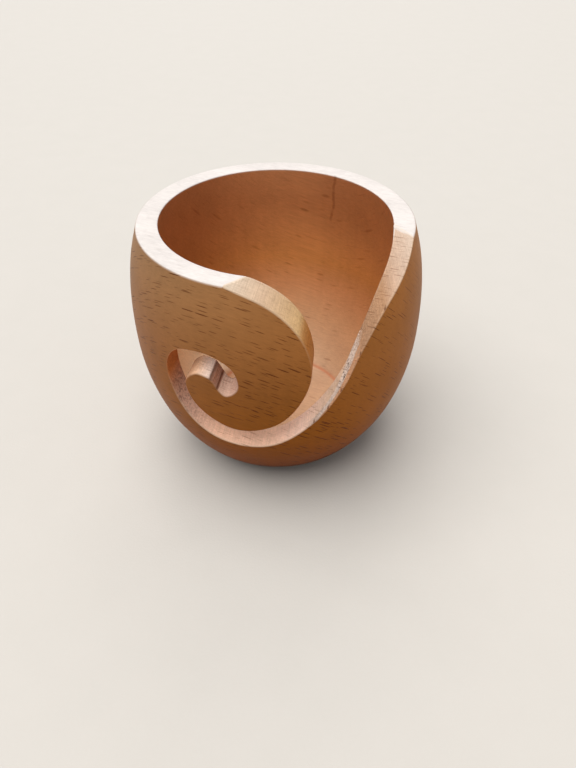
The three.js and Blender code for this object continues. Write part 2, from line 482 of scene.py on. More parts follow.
# ---- the slot
class Slot:
    """Edges of the slot on the turned surface, sampled along its outline."""

    def __init__(self, profile):
        swirl, tongue = catmull_rom(SWIRL_EDGE, SWIRL_SAMPLES), catmull_rom(TONGUE_EDGE, TONGUE_SAMPLES)
        outline = self.soften(resample(np.vstack([swirl, tongue]), OUTLINE_STEP))
        front, back, hit = self.cross(profile, outline)
        first, last = np.flatnonzero(hit)[[0, -1]]
        outline, front, back = (line[first : last + 1] for line in (outline, front, back))
        steps = np.maximum(
            np.linalg.norm(np.diff(front, axis=0), axis=1),
            np.linalg.norm(np.diff(back, axis=0), axis=1),
        )
        length = np.concatenate([[0.0], np.cumsum(steps)])
        at = np.linspace(0, length[-1], int(length[-1] / SLOT_STEP))
        self.along = np.interp(at, length, arc_length(outline))
        self.outline, front, back = (
            np.stack([np.interp(at, length, line[:, k]) for k in range(line.shape[1])], -1)
            for line in (outline, front, back)
        )
        self.front_phi, self.front_s = front_angle(front), profile.outer_station(front)
        self.back_phi, self.back_s = front_angle(back), profile.inner_station(back)
        # both ends close on the rim's edge
        for end in (0, -1):
            self.back_phi[end], self.back_s[end] = self.front_phi[end], self.front_s[end]
        self.front = profile.point(self.front_phi, self.front_s)
        self.back = profile.point(self.back_phi, self.back_s)
        self.width = np.linalg.norm(self.back - self.front, axis=1)
        self.ruling = unit(AIM_POINT - self.on_plane(self.outline, OUTLINE_Y))
        self.normal = unit(np.cross(self.ruling, self.on_plane(np.gradient(self.outline, axis=0), 0.0)))

    def place(self, x, z):
        """Distance along the outline of the sample nearest to a point of the outline's plane."""
        return self.along[np.argmin(np.hypot(self.outline[:, 0] - x, self.outline[:, 1] - z))]

    def spread(self, points, values):
        """Values all along the slot, between those given at some points of the outline."""
        return np.interp(self.along, [self.place(*point) for point in points], values)

    def tones(self):
        points, tones = zip(*CUT_TONES)
        return np.stack([self.spread(points, channel) for channel in zip(*tones)], -1)

    def edge_highlight(self):
        return self.spread(*zip(*EDGE_HIGHLIGHT_SHARES))

    def surface(self):
        """Roughness of the cut and strength of its flecks along the slot."""
        points, roughness, strength = zip(*CUT_SURFACE)
        return self.spread(points, roughness), self.spread(points, strength)

    def torn(self, share):
        """The torn strip, and the rough fringe between it and the outer edge, at a share of the width."""
        along, *rows = zip(*TORN_STRIP)
        first, last, strength = (np.interp(self.along, along, row) for row in rows)
        after_first = np.clip((share - first) / TORN_BLUR + 0.5, 0, 1)
        before_last = np.clip((last - share) / TORN_BLUR + 0.5, 0, 1)
        return after_first * before_last * strength, (1 - after_first) * strength

    def worn_end(self, profile):
        """How far the worn end of the rim reaches onto the cut face, from its back edge."""
        crossed = fade(self.back_s, profile.rim_from, profile.rim_to - profile.rim_from)
        first_inside = np.argmax(self.back_s > profile.rim_to)
        past = np.clip((self.along - self.along[first_inside]) / WORN_REACH, 0, 1)
        reach = WORN_DEPTH * np.sin(crossed * math.pi / 2) * np.sqrt(1 - past)
        reach[self.along > self.along[-1] / 2] = 0.0
        return reach

    @staticmethod
    def soften(outline, reach=14, rounds=3):
        """Rounds the corner where the two edges meet, over about a millimetre."""
        kernel = np.hanning(2 * reach + 3)[1:-1]
        kernel /= kernel.sum()
        for _ in range(rounds):
            padded = np.vstack([np.repeat(outline[:1], reach, 0), outline, np.repeat(outline[-1:], reach, 0)])
            outline = np.stack([np.convolve(padded[:, k], kernel, "valid") for k in (0, 1)], -1)
        return outline

    @staticmethod
    def on_plane(outline, y):
        """Points of the outline's plane as points in space."""
        return np.stack([outline[:, 0], np.full(len(outline), y), outline[:, 1]], -1)

    @classmethod
    def cross(cls, profile, outline):
        """Where each line from the outline to the aim point enters and leaves the wall, and if it does."""
        start = cls.on_plane(outline, OUTLINE_Y)
        reach = AIM_POINT[1] - OUTLINE_Y

        def at(y):
            return AIM_POINT + (start - AIM_POINT) * ((AIM_POINT[1] - y) / reach)[:, None]

        ys = np.linspace(CUT_START_Y, CUT_END_Y, CROSSING_SAMPLES)
        inside = np.stack([profile.inside(at(np.full(len(outline), y))) for y in ys])
        enter = np.argmax(inside, axis=0)
        hit = inside.any(axis=0) & (enter > 0)
        after = inside.copy()
        after[np.arange(len(ys))[:, None] < enter[None, :]] = True
        leave = np.argmax(~after, axis=0)
        hit &= leave > 0
        found = []
        for k, outside_first in ((enter, True), (leave, False)):
            lo, hi = ys[np.maximum(k - 1, 0)].copy(), ys[k].copy()
            for _ in range(CROSSING_HALVINGS):
                mid = (lo + hi) / 2
                solid = profile.inside(at(mid))
                move_hi = solid if outside_first else ~solid
                hi = np.where(move_hi, mid, hi)
                lo = np.where(move_hi, lo, mid)
            found.append(at((lo + hi) / 2))
        return found[0], found[1], hit


def even_odd(points, polygon):
    """True for the points inside the polygon."""
    x, y = points[:, 0], points[:, 1]
    inside = np.zeros(len(points), bool)
    a, b = polygon, np.roll(polygon, -1, axis=0)
    for (x0, y0), (x1, y1) in zip(a, b):
        if y0 == y1:
            continue
        crosses = (y0 > y) != (y1 > y)
        inside ^= crosses & (x < (x1 - x0) * (y - y0) / (y1 - y0) + x0)
    return inside


def distance_to(points, targets, chunk=2000):
    """Distance from each point to the nearest target, in chunks that fit the memory."""
    nearest = np.empty(len(points))
    for i in range(0, len(points), chunk):
        apart = points[i : i + chunk, None, :] - targets[None, :, :]
        nearest[i : i + chunk] = np.sqrt((apart**2).sum(-1).min(1))
    return nearest


class MeshParts:
    """Collects vertices with their normals and masks, and faces."""

    MASKS = ("cut", "edge", "along", "across", "inner", "torn", "fringe", "fuzz", "flecky")

    def __init__(self):
        self.points, self.normals, self.tones, self.faces = [], [], [], []
        self.masks = {name: [] for name in self.MASKS}
        self.count = 0

    def add(self, points, normals, tones, **masks):
        """Adds points and returns their numbers. A mask that isn't given is 0."""
        n = len(points)
        self.points.append(points)
        self.normals.append(normals)
        self.tones.append(np.broadcast_to(tones, (n, 3)).copy())
        for name in self.MASKS:
            value = masks.get(name, 0.0)
            self.masks[name].append(np.broadcast_to(np.asarray(value, float), (n,)).copy())
        first = self.count
        self.count += n
        return np.arange(first, first + n)

    def quads(self, a, b, c, d):
        """Adds four-cornered faces, from the numbers of their corners in order."""
        self.faces.extend(np.stack([a, b, c, d], -1).reshape(-1, 4).tolist())


def row_stations(profile):
    """Arc lengths of the mesh rows: fine on the small rounds, coarse on the flats."""
    s = profile.s
    bend = np.abs(np.gradient(np.unwrap(np.arctan2(profile.nz, profile.nr)), s))
    spacing = np.full(len(s), WALL_STEP)
    flat = (np.abs(profile.nz) > 0.9999) & (profile.z < BOWL_HEIGHT / 2)
    spacing[flat] = FLAT_STEP
    spacing[bend > 0.3] = ROUNDING_STEP
    kernel = np.ones(ROW_BLUR) / ROW_BLUR
    spacing = 1 / np.convolve(np.pad(1 / spacing, ROW_BLUR // 2, mode="edge"), kernel, "valid")
    count = np.concatenate([[0.0], np.cumsum(np.diff(s) / spacing[:-1])])
    rows = int(round(count[-1]))
    return np.interp(np.arange(1, rows) * count[-1] / rows, count, s)


def unrolled(phi, s):
    """Places on the unrolled surface, in millimetres."""
    return np.stack([phi * UNROLL_RADIUS, s], -1)


def offset_loop(loop, sizes, profile):
    """Moves the closed loop on the unrolled surface outwards, by sizes in real millimetres.

    Where the moved loop would turn over, its sizes shrink until it doesn't. Gives the loop, the
    directions outwards and the sizes that were used."""
    following = np.roll(loop, -1, 0)
    way_round = np.sign(np.sum(loop[:, 0] * following[:, 1] - following[:, 0] * loop[:, 1]))
    sizes = sizes.copy()
    stretch = np.stack([profile.at(loop[:, 1])[0] / UNROLL_RADIUS, np.ones(len(loop))], -1)
    run = unit((following - np.roll(loop, 1, 0)) * stretch)
    outward = np.stack([run[:, 1], -run[:, 0]], -1) * way_round
    for _ in range(OFFSET_TRIES):
        moved = loop + outward * sizes[:, None] / stretch
        before, after = following - loop, np.roll(moved, -1, 0) - moved
        turned = (before * after).sum(1) < LEAST_PROGRESS * (before**2).sum(1)
        if not turned.any():
            break
        hit = turned | np.roll(turned, 1)
        hit |= np.roll(hit, 1) | np.roll(hit, -1)
        sizes[hit] *= OFFSET_SHRINK
    return moved, outward, sizes


class SkinGrid:
    """Even grid of points on the turned surface, without those in the slot or close to its edge."""

    def __init__(self, profile, loop):
        self.rows = row_stations(profile)
        turn = (np.arange(COLUMNS) + 0.5) / COLUMNS
        self.phi, self.s = np.meshgrid(-math.pi + 2 * math.pi * turn, self.rows)
        self.flat = unrolled(self.phi, self.s)
        spots = self.flat.reshape(-1, 2)
        near_slot = ((spots > loop.min(0) - SLOT_MARGIN) & (spots < loop.max(0) + SLOT_MARGIN)).all(1)
        kept = np.ones(len(spots), bool)
        kept[near_slot] = distance_to(spots[near_slot], loop) > GRID_CLEARANCE
        kept[near_slot] &= ~even_odd(spots[near_slot], loop)
        self.kept = kept.reshape(self.phi.shape)
        right = np.roll(self.kept, -1, axis=1)
        self.whole = self.kept[:-1] & self.kept[1:] & right[:-1] & right[1:]
        self.used = self.corners(self.whole)
        self.border = self.used & self.corners(~self.whole)
        self.ids = np.full(self.kept.shape, -1)

    def corners(self, cells):
        """Marks the four corners of each marked cell."""
        marked = np.zeros(self.kept.shape, bool)
        row, column = np.nonzero(cells)
        for up in (0, 1):
            for right in (0, 1):
                marked[row + up, (column + right) % COLUMNS] = True
        return marked

    def stair_edges(self, first):
        """Edges between whole and other cells. The border's points are numbered on from first."""
        number = np.full(self.kept.shape, -1)
        number[self.border] = first + np.arange(self.border.sum())
        edges = []
        for row, column in zip(*np.nonzero(~self.whole)):
            left, right = (column - 1) % COLUMNS, (column + 1) % COLUMNS
            sides = (
                ((row, column), (row, right), (row - 1, column)),
                ((row + 1, column), (row + 1, right), (row + 1, column)),
                ((row, column), (row + 1, column), (row, left)),
                ((row, right), (row + 1, right), (row, right)),
            )
            for start, end, neighbour in sides:
                if 0 <= neighbour[0] < len(self.whole) and self.whole[neighbour]:
                    edges.append((int(number[start]), int(number[end])))
        return edges

    def in_whole_cell(self, spots):
        """True for the points of the unrolled surface that lie in a whole cell or past the grid's ends."""
        row = np.searchsorted(self.rows, spots[:, 1]) - 1
        turn = (spots[:, 0] / UNROLL_RADIUS + math.pi) / (2 * math.pi)
        column = np.floor(turn * COLUMNS - 0.5).astype(int) % COLUMNS
        on_grid = (row >= 0) & (row < len(self.whole))
        inside = np.ones(len(spots), bool)
        inside[on_grid] = self.whole[row[on_grid], column[on_grid]]
        return inside


def add_skin(parts, profile, phi, station):
    """Adds points of the turned surface and returns their numbers."""
    tone, flecky = skin_tone(profile, phi, station)
    inner = (station > profile.rim_to).astype(float)
    points, normals = profile.point(phi, station), profile.normal(phi, station)
    return parts.add(points, normals, tone, inner=inner, flecky=flecky)


def add_grid(parts, profile, grid):
    """The grid's whole cells, closed at the middle of the foot and at the middle of the floor."""
    grid.ids[grid.used] = add_skin(parts, profile, grid.phi[grid.used], grid.s[grid.used])
    row, column = np.nonzero(grid.whole)
    right = (column + 1) % COLUMNS
    lower, upper = grid.ids[:-1], grid.ids[1:]
    parts.quads(lower[row, column], lower[row, right], upper[row, right], upper[row, column])
    for ring, station, from_below in ((grid.ids[0], 0.0, True), (grid.ids[-1], profile.length, False)):
        pole = add_skin(parts, profile, np.zeros(1), np.array([station]))[0]
        for here, following in zip(ring, np.roll(ring, -1)):
            parts.faces.append([pole, following, here] if from_below else [pole, here, following])


def thinned(spots):
    """Leaves out each point that is too close to an earlier one."""
    chosen, by_cell = [], {}
    for x, y in spots.tolist():
        column, row = int(x // THIN_CELL), int(y // THIN_CELL)
        cells = [(column + i, row + j) for i in (-1, 0, 1) for j in (-1, 0, 1)]
        nearby = [spot for cell in cells for spot in by_cell.get(cell, ())]
        if all((u - x) ** 2 + (v - y) ** 2 >= THIN_DISTANCE**2 for u, v in nearby):
            by_cell.setdefault((column, row), []).append((x, y))
            chosen.append((x, y))
    return np.array(chosen)


def band_spots(grid, loop, outward):
    """Points between the grid and the slot: two rings round the slot and the grid's leftover points."""
    spots = []
    for share, every in BAND_RINGS:
        away = SLOT_STEP * share
        ring = loop + outward * away
        clear = (distance_to(ring, loop) > away * RING_CLEARANCE) & ~even_odd(ring, loop)
        clear &= np.arange(len(ring)) % every == 0
        spots.append(ring[clear])
    spots.append(grid.flat[grid.kept & ~grid.used])
    spots = np.vstack(spots)
    return thinned(spots[distance_to(spots, grid.flat[grid.border]) > BORDER_CLEARANCE])


def add_band(parts, profile, grid, loop, loop_ids, outward):
    """Triangles between the grid's whole cells and the slot's edge."""
    spots = band_spots(grid, loop, outward)
    spot_ids = add_skin(parts, profile, spots[:, 0] / UNROLL_RADIUS, spots[:, 1])
    given = np.vstack([loop, grid.flat[grid.border], spots])
    given_ids = np.concatenate([loop_ids, grid.ids[grid.border], spot_ids])
    edges = [(i, (i + 1) % len(loop)) for i in range(len(loop))] + grid.stair_edges(len(loop))
    made = delaunay_2d_cdt([Vector(spot) for spot in given.tolist()], edges, [], 0, CDT_EPSILON)
    flat, triangles, sources = np.array([spot[:] for spot in made[0]]), np.array(made[2]), made[3]
    ids = []
    for spot, source in zip(flat, sources):
        if source:
            ids.append(given_ids[source[0]])
        else:
            ids.append(add_skin(parts, profile, spot[:1] / UNROLL_RADIUS, spot[1:])[0])
    middle = flat[triangles].mean(1)
    triangles = triangles[~grid.in_whole_cell(middle) & ~even_odd(middle, loop)]
    a, b, c = (flat[triangles[:, k]] for k in range(3))
    clockwise = (b - a)[:, 0] * (c - a)[:, 1] - (b - a)[:, 1] * (c - a)[:, 0] < 0
    triangles[clockwise] = triangles[clockwise][:, ::-1]
    parts.faces.extend(np.array(ids)[triangles].tolist())


def split_loop(values, n_front):
    """What belongs to the slot's front edge and to its back edge, both in the slot's order."""
    back = np.concatenate([values[:1], values[n_front:][::-1], values[n_front - 1 : n_front]])
    return values[:n_front], back


def squareness(curve, ruling):
    """1 where the ruling crosses the curve at a right angle, less where it runs along it."""
    run = unit(np.gradient(curve, axis=0))
    return np.sqrt(np.maximum(1 - (run * ruling).sum(1) ** 2, LEAST_SQUARENESS))


def add_cut(parts, profile, slot, loop_ids, sizes):
    """The slot's cut face and its rounded edges, in columns from the outer skin to the inner one."""
    skin_front, skin_back = split_loop(loop_ids, len(slot.front))
    size_front, size_back = split_loop(sizes, len(slot.front))
    skin_points, skin_normals, skin_tones = map(np.vstack, (parts.points, parts.normals, parts.tones))
    width = slot.width
    into_front = np.minimum(size_front / squareness(slot.front, slot.ruling), MOST_ROUNDED * width)
    into_back = np.minimum(size_back / squareness(slot.back, slot.ruling), MOST_ROUNDED * width)
    ray = np.where(width[:, None] > 1.0, unit(slot.back - slot.front), slot.ruling)
    start = slot.front + ray * into_front[:, None]
    end = slot.back - ray * into_back[:, None]
    face_width = np.linalg.norm(end - start, axis=1)
    cut_tones, lightness, worn = slot.tones(), slot.edge_highlight(), slot.worn_end(profile)
    fuzz, flecky = slot.surface()
    columns = [skin_front]

    def rounding(skin, corner, cut):
        """Columns of a rounded edge: share of the way to the cut, points, normals, tones and painted
        highlight.
        """
        for t in np.arange(1, ROUND_COLUMNS) / ROUND_COLUMNS:
            points = (1 - t) ** 2 * skin_points[skin] + 2 * t * (1 - t) * corner + t**2 * cut
            normals = unit(blend(skin_normals[skin], slot.normal, t))
            tones = blend(skin_tones[skin], cut_tones, t)
            yield t, points, normals, tones, lightness * (1 - abs(2 * t - 1) * 0.5)

    def whiteness(from_back):
        """1 where a point this far from the back edge lies on the worn end of the rim."""
        return (np.clip((worn - from_back) / WORN_BLUR + 0.5, 0, 1) * (worn > 0))[:, None]

    def add_column(points, normals, tones, white, share, cut=1.0, torn_share=1.0, **masks):
        """One column of points, at a share of the face's width; white is its part in the worn rim."""
        torn, fringe = slot.torn(share)
        # the worn rim end takes the rim's pale tone with its painted highlight
        normals, tones = unit(blend(normals, UPWARD, white)), blend(tones, RIM_TONE_AND_HIGHLIGHT, white)
        masks.update(cut=cut * (1 - white[:, 0]), torn=torn * torn_share, fringe=fringe)
        masks.update(along=slot.along, fuzz=fuzz, flecky=flecky)
        columns.append(parts.add(points, normals, tones, **masks))

    not_white = np.zeros((len(width), 1))
    for t, points, normals, tones, light in rounding(skin_front, slot.front, start):
        add_column(points, normals, tones, not_white, 0.0, t, edge=light)
    for t in np.linspace(0, 1, CUT_COLUMNS + 1):
        across = into_front + face_width * t
        white, share = whiteness(width - across), across / np.maximum(width, 1)
        light = lightness * (0.5 if t in (0, 1) else 0.0)
        add_column(start + (end - start) * t, slot.normal, cut_tones, white, share, edge=light, across=across)
    for t, points, normals, tones, light in reversed(list(rounding(skin_back, slot.back, end))):
        add_column(points, normals, tones, whiteness(0.0), 1.0, t, t, edge=light, across=width, inner=1 - t)
    columns.append(skin_back)
    for here, following in zip(columns[:-1], columns[1:]):
        parts.quads(here[:-1], following[:-1], following[1:], here[1:])


def build_bowl(profile, slot):
    """The whole bowl: the turned skin, the band round the slot, the rounded edges and the cut face."""
    parts = MeshParts()
    front = unrolled(slot.front_phi, slot.front_s)
    back = unrolled(slot.back_phi, slot.back_s)
    size = np.minimum(EDGE_SIZE, slot.width * NARROW_EDGE_SHARE)
    loop, outward, sizes = offset_loop(
        np.vstack([front, back[-2:0:-1]]), np.concatenate([size, size[-2:0:-1]]), profile
    )
    grid = SkinGrid(profile, loop)
    add_grid(parts, profile, grid)
    loop_ids = add_skin(parts, profile, loop[:, 0] / UNROLL_RADIUS, loop[:, 1])
    add_band(parts, profile, grid, loop, loop_ids, outward)
    add_cut(parts, profile, slot, loop_ids, sizes)
    return parts


def to_object(parts, name):
    """Makes the Blender object, with the masks and tones as attributes of its points."""
    points = np.vstack(parts.points) * MM
    mesh = bpy.data.meshes.new(name)
    mesh.from_pydata(points.tolist(), [], [face for face in parts.faces if len(set(face)) == len(face)])
    mesh.validate(clean_customdata=False)
    mesh.update()
    for key in MeshParts.MASKS:
        attribute = mesh.attributes.new(key, "FLOAT", "POINT")
        attribute.data.foreach_set("value", np.concatenate(parts.masks[key]).astype(np.float32))
    tone = mesh.attributes.new("tone", "FLOAT_COLOR", "POINT")
    colours = np.ones((len(points), 4), np.float32)
    colours[:, :3] = np.vstack(parts.tones)
    tone.data.foreach_set("color", colours.ravel())
    for polygon in mesh.polygons:
        polygon.use_smooth = True
    mesh.normals_split_custom_set_from_vertices(np.vstack(parts.normals).tolist())
    obj = bpy.data.objects.new(name, mesh)
    bpy.context.scene.collection.objects.link(obj)
    return obj


# ---- material
class Nodes:
    """Short calls for building a node tree."""

    def __init__(self, material):
        self.tree = material.node_tree

    def new(self, kind, **settings):
        node = self.tree.nodes.new(kind)
        for name, value in settings.items():
            setattr(node, name, value)
        return node

    def set(self, socket, value):
        if isinstance(value, bpy.types.NodeSocket):
            self.tree.links.new(value, socket)
        else:
            socket.default_value = value

    def math(self, operation, a, b=None, c=None, clamp=False):
        node = self.new("ShaderNodeMath", operation=operation, use_clamp=clamp)
        for socket, value in zip(node.inputs, (a, b, c)):
            if value is not None:
                self.set(socket, value)
        return node.outputs[0]

    def vector(self, operation, a, b=None):
        node = self.new("ShaderNodeVectorMath", operation=operation)
        for socket, value in zip(node.inputs, (a, b)):
            if value is not None:
                self.set(socket, value)
        return node.outputs["Value" if operation in ("DOT_PRODUCT", "LENGTH") else "Vector"]

    def product(self, first, *others):
        for value in others:
            first = self.math("MULTIPLY", first, value)
        return first

    def largest(self, first, *others):
        for value in others:
            first = self.math("MAXIMUM", first, value)
        return first

    def swing(self, middle, pattern, contrast):
        """The middle value, moved up and down by a pattern that lies around a half."""
        return self.math("MULTIPLY_ADD", self.math("SUBTRACT", pattern, 0.5), contrast, middle)

    def position(self):
        return self.new("ShaderNodeTexCoord").outputs["Object"]

    def repeats(self, per_metre):
        """Coordinates for a pattern that repeats so often a metre."""
        return self.vector("MULTIPLY", self.position(), per_metre)

    def combine(self, x, y, z):
        node = self.new("ShaderNodeCombineXYZ")
        for socket, value in zip(node.inputs, (x, y, z)):
            self.set(socket, value)
        return node.outputs[0]

    def attribute(self, name, output="Fac"):
        return self.new("ShaderNodeAttribute", attribute_name=name).outputs[output]

    def noise(self, vector, detail=2.0, roughness=0.5, scale=1.0):
        node = self.new("ShaderNodeTexNoise")
        self.set(node.inputs["Vector"], vector)
        node.inputs["Scale"].default_value = scale
        node.inputs["Detail"].default_value = detail
        node.inputs["Roughness"].default_value = roughness
        return node.outputs["Fac"]

    def ramp(self, value, low, high, to_low=0.0, to_high=1.0):
        """Smooth step of value from low to high."""
        node = self.new("ShaderNodeMapRange", interpolation_type="SMOOTHSTEP")
        for socket, v in zip(node.inputs, (value, low, high, to_low, to_high)):
            self.set(socket, v)
        return node.outputs[0]

    def mix(self, share, a, b, mode="MIX"):
        node = self.new("ShaderNodeMix", data_type="RGBA", blend_type=mode)
        self.set(node.inputs[0], share)
        self.set(node.inputs[6], a)
        self.set(node.inputs[7], b)
        return node.outputs[2]

    def bump(self, height, distance):
        node = self.new("ShaderNodeBump")
        node.inputs["Distance"].default_value = distance
        self.set(node.inputs["Height"], height)
        return node.outputs[0]


# Directions of the wood in the bowl: along the grain, across the rings, and along the rays
GRAIN = np.array([0.93, -0.26, -0.21])
ACROSS = np.array([0.24, 0.65, 0.72])
# Sizes of the wood's patterns, in metres along its three directions
FIBRE_SIZE = (0.030, 0.0009, 0.0016)
FINE_SIZE = (0.006, 0.00035, 0.00045)
CLOUD_SIZE = (0.060, 0.018, 0.022)
GROUP_SIZE = (0.022, 0.009, 0.016)
# Sizes of the patterns that don't follow the grain, in repeats a metre along X, Y and Z
UPRIGHT_STREAKS = (260.0, 260.0, 14.0)
CRUMBS = (1100.0, 1100.0, 1100.0)
PITS = (650.0, 900.0, 520.0)
# Lines on the cut faces, in repeats a millimetre along and across the slot
SAW_LINES = (2.6, 0.10)
SAND_LINES = (0.16, 2.4)
# How far each pattern moves the shade, from its darkest to its lightest
FIBRE_CONTRAST = 0.30
FINE_CONTRAST = 0.26
CLOUD_CONTRAST = 0.30
UPRIGHT_CONTRAST = 0.16
SAW_CONTRAST = 0.90
DEEP_SAW_CONTRAST = -0.30
SAND_CONTRAST = 0.30
CRUMB_CONTRAST = 1.1
# Ray flecks, in metres along the three directions: the room that each one has and half its own size.
# Then the share of the rooms that hold one, a shift that sets the three kinds apart, and soft edges.
LONG_FLECKS = ((0.0068, 0.00145, 0.0100), (0.0028, 0.00019, 0.0056), 0.82, 0.0, 0.45)
SHORT_FLECKS = ((0.0052, 0.00130, 0.0090), (0.0020, 0.00016, 0.0050), 0.62, 7.3, 0.45)
SOFT_FLECKS = ((0.0090, 0.0032, 0.0120), (0.0028, 0.00060, 0.0070), 0.40, 3.1, 0.8)
SHORT_FLECK_STRENGTH = 0.8
SOFT_FLECK_STRENGTH = 0.42
# What a fleck or the streak does to the colour under it, and the painted shade in a groove or chip
DARK_MARK_AND_GROOVE_SHADE = (0.37, 0.22, 0.15)

# Pale torn fibres, the pits in them, and the warm fringe beside them
TORN_TONE = (0.545, 0.445, 0.38)
TORN_STRENGTH = 0.80
PIT_TONE = (0.035, 0.020, 0.015)
FRINGE_TONE = (0.44, 0.20, 0.09)
FRINGE_STRENGTH = 0.70
RAGGEDNESS = 1.3
RAGGED_EDGE = (0.30, 0.85)
# Dark specks in the roughest stretches of the cut
SPECK_TONE = (0.13, 0.055, 0.040)
SPECK_STRENGTH = 0.42
# How far the painted highlight on the slot's rounded edges goes to its tone
EDGE_STRENGTH = 0.6
# Grooves and chips, in millimetres: half their length along the slot, and how deep a chip goes across it
GROOVE_REACH = 1.1
# How dark the painted shade in the grooves and chips is
GROOVE_STRENGTH = 0.85
CHIP_REACH = 0.9
CHIP_DEPTH = 1.9
# The mineral streak, in metres: its place across, how far it waves, its half width and its lower end,
# and how often a metre it waves and changes in strength
STREAK_X = 0.0262
STREAK_WAVE = 0.004
STREAK_WIDTH = 0.0009
STREAK_END = 0.082
STREAK_END_FADE = 0.006
STREAK_STRENGTH = 0.42
STREAK_WAVES = 90.0
STREAK_PATCHES = 260.0

# Gloss, and the heights of the relief against each other and in metres
SKIN_ROUGHNESS = 0.46
CUT_ROUGHNESS = 0.64
ROUGHNESS_CONTRAST = 0.12
TORN_ROUGHNESS = 0.25
SPECULAR_LEVEL = 0.08
SPECULAR_TINT = (1.0, 0.74, 0.42, 1)
FIBRE_RELIEF = 0.5
FLECK_RELIEF = -0.6
SAW_RELIEF = 1.6
CRUMB_RELIEF = 6.0
GROOVE_RELIEF = -5.0
RELIEF_HEIGHT = 0.00010


def wood_axes():
    grain = GRAIN / np.linalg.norm(GRAIN)
    across = ACROSS - grain * (ACROSS @ grain)
    across /= np.linalg.norm(across)
    return grain, across, np.cross(grain, across)


def wood_space(n, sizes, shift=0.0):
    """Coordinates along the wood's three directions, each divided by its size."""
    position = n.position()
    along = [n.vector("DOT_PRODUCT", position, tuple(axis / size)) for axis, size in zip(wood_axes(), sizes)]
    return n.combine(n.math("ADD", along[0], shift), along[1], along[2])


def near(n, value, centre, reach):
    """1 where the value is at the centre, falling to 0 at the reach."""
    return n.ramp(n.math("ABSOLUTE", n.math("SUBTRACT", value, centre)), reach, 0.0)


def flecks(n, room, half_size, share, shift, softness):
    """One kind of ray flecks, thin spindles in the wood: their darkness inside, 0 between them."""
    space = wood_space(n, room, shift)
    cells = n.new("ShaderNodeTexVoronoi", feature="F1")
    n.set(cells.inputs["Vector"], space)
    cells.inputs["Scale"].default_value = 1.0
    cells.inputs["Randomness"].default_value = 0.9
    chance = n.new("ShaderNodeSeparateColor")
    n.set(chance.inputs[0], cells.outputs["Color"])
    presence, length, darkness = chance.outputs
    reach = tuple(whole / half for whole, half in zip(room, half_size))
    offset = n.vector("MULTIPLY", n.vector("SUBTRACT", space, cells.outputs["Position"]), reach)
    within = n.math("SUBTRACT", n.math("MULTIPLY_ADD", length, 0.7, 0.5), n.vector("LENGTH", offset))
    groups = n.noise(wood_space(n, GROUP_SIZE, shift), 1.0)
    present = n.ramp(n.math("ADD", presence, n.swing(share, groups, 0.5)), 1.0, 1.05)
    return n.product(n.ramp(within, 0.0, softness), present, n.math("MULTIPLY_ADD", darkness, 0.5, 0.5))


def all_flecks(n, masks):
    """The flecks themselves, and how much they darken the wood here."""
    short = n.product(flecks(n, *SHORT_FLECKS), SHORT_FLECK_STRENGTH)
    fleck = n.largest(flecks(n, *LONG_FLECKS), short)
    soft = n.product(flecks(n, *SOFT_FLECKS), masks["inner"], SOFT_FLECK_STRENGTH)
    return fleck, n.largest(n.product(fleck, masks["flecky"]), soft)


def wood_shade(n, masks, skin, fibre, fine):
    """Fibres and slow changes of tone everywhere, and upright streaks on the turned skin."""
    cloud = n.noise(wood_space(n, CLOUD_SIZE))
    upright = n.noise(n.repeats(UPRIGHT_STREAKS))
    shade = n.swing(n.swing(1.0, fibre, FIBRE_CONTRAST), cloud, CLOUD_CONTRAST)
    shade = n.swing(shade, fine, FINE_CONTRAST)
    streaks = n.product(skin, n.swing(1.0, upright, UPRIGHT_CONTRAST))
    return n.product(shade, n.math("ADD", masks["cut"], streaks))


def saw_marks(n, masks):
    """The saw's lines across the slot, and the shade of the cut face from them and the sanding along it."""

    def lines(repeats, layer, detail, roughness):
        along, across = (n.product(masks[name], repeat) for name, repeat in zip(("along", "across"), repeats))
        return n.noise(n.combine(along, across, layer), detail, roughness)

    saw = lines(SAW_LINES, 0.0, 4.0, 0.75)
    sand = lines(SAND_LINES, 4.0, 3.0, 0.7)
    shade = n.swing(n.swing(1.0, saw, SAW_CONTRAST), sand, SAND_CONTRAST)
    return saw, n.math("MULTIPLY_ADD", n.ramp(saw, 0.34, 0.22), DEEP_SAW_CONTRAST, shade)


def torn_wood(n, masks, crumbs, colour):
    """The colour with specks, warm fringe and torn strip on it, and where the surface is rough."""
    pits = n.noise(n.repeats(PITS), 2.0, 0.6)
    torn = n.ramp(n.swing(masks["torn"], crumbs, RAGGEDNESS), *RAGGED_EDGE)
    fringe = n.ramp(n.swing(masks["fringe"], crumbs, RAGGEDNESS), *RAGGED_EDGE)
    pitted = n.product(n.ramp(pits, 0.48, 0.41), near(n, masks["along"], PITS_AT, PITS_REACH))
    torn_colour = n.mix(pitted, (*TORN_TONE, 1), (*PIT_TONE, 1))
    specks = n.product(n.ramp(pits, 0.46, 0.38), n.ramp(masks["fuzz"], 0.70, 1.0), masks["cut"])
    colour = n.mix(n.product(specks, SPECK_STRENGTH), colour, (*SPECK_TONE, 1))
    colour = n.mix(n.product(fringe, FRINGE_STRENGTH), colour, (*FRINGE_TONE, 1))
    colour = n.mix(n.product(torn, TORN_STRENGTH), colour, torn_colour)
    return colour, n.largest(torn, fringe, n.product(masks["fuzz"], masks["cut"]))


def grooves_and_chips(n, masks, slot):
    """1 in the two grooves at the curl's end and in the chips of the right face's outer edge."""

    def marks(points, reach):
        return [near(n, masks["along"], float(slot.place(*point)), reach) for point in points]

    at_outer_edge = n.ramp(masks["across"], CHIP_DEPTH, CHIP_DEPTH * 0.3)
    chips = [n.product(mark, at_outer_edge) for mark in marks(CHIPS, CHIP_REACH)]
    return n.product(n.largest(*marks(GROOVES, GROOVE_REACH), *chips), n.ramp(masks["cut"], 0.1, 0.6))


